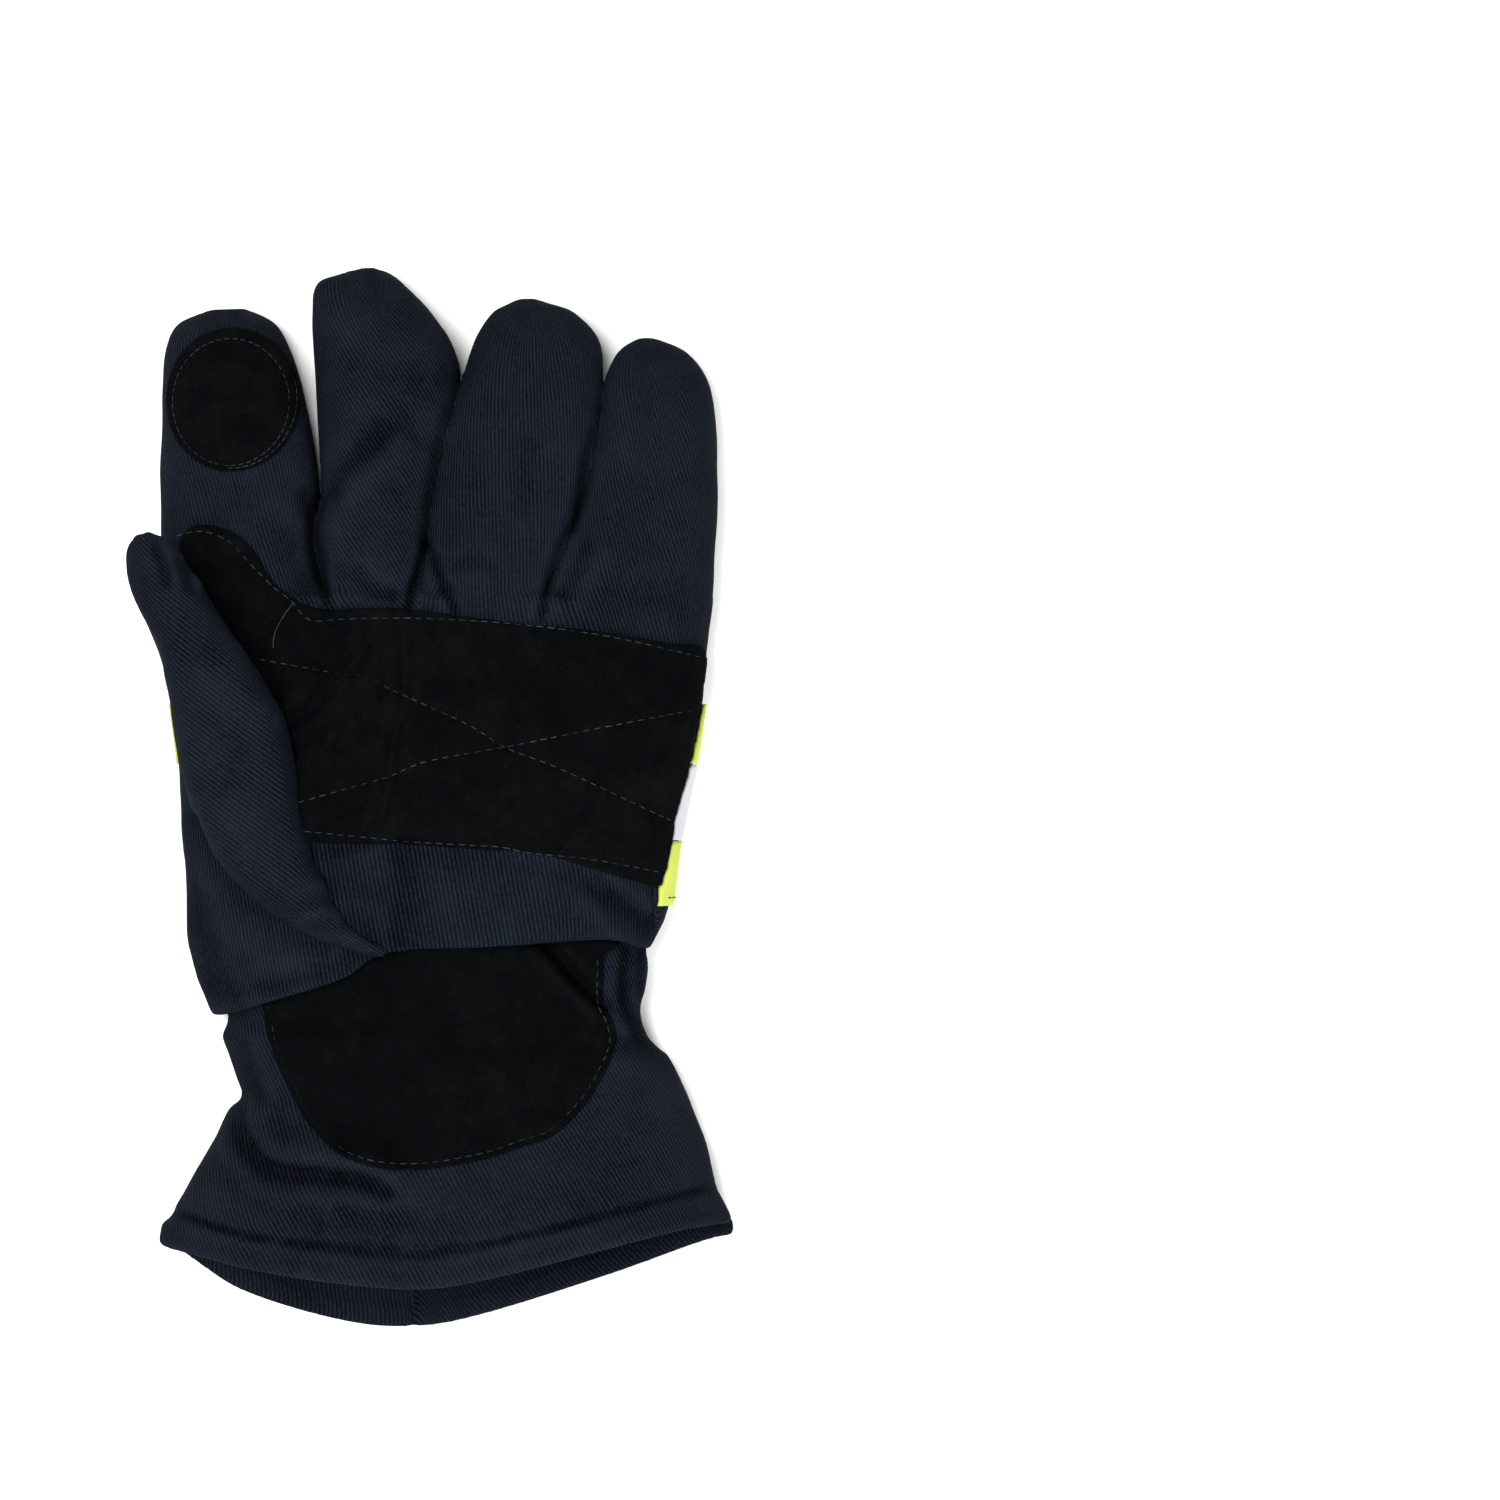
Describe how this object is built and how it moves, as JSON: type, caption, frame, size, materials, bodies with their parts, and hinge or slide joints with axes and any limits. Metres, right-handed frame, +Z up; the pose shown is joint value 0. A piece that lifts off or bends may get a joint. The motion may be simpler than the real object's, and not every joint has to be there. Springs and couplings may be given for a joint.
{
  "type": "firefighter glove",
  "caption": "Left-hand padded cloth work glove lying palm up, with suede patches, a flared cuff and reflective tape across its back.",
  "frame": {"origin": "middle of the bottom of the glove's box, on the surface that it lies on", "axes": "+X from the thumb side to the little finger, +Y towards the fingertips, +Z up out of the palm"},
  "size_m": [0.1564, 0.2796, 0.0484],
  "materials": {
    "navy_cloth": "matt padded twill",
    "black_suede": "matt napped suede",
    "lime_tape": "fluorescent woven tape",
    "silver_tape": "retroreflective satin tape"
  },
  "bodies": {
    "root": {"palm_panel": "navy_cloth", "back_panel": "navy_cloth", "thumb": "navy_cloth", "cuff_front": "navy_cloth", "cuff_back": "navy_cloth", "palm_patch": "black_suede", "index_tip_patch": "black_suede", "wrist_patch": "black_suede", "tape_lime_upper": "lime_tape", "tape_silver": "silver_tape", "tape_lime_lower": "lime_tape"}
  },
  "joints": []
}
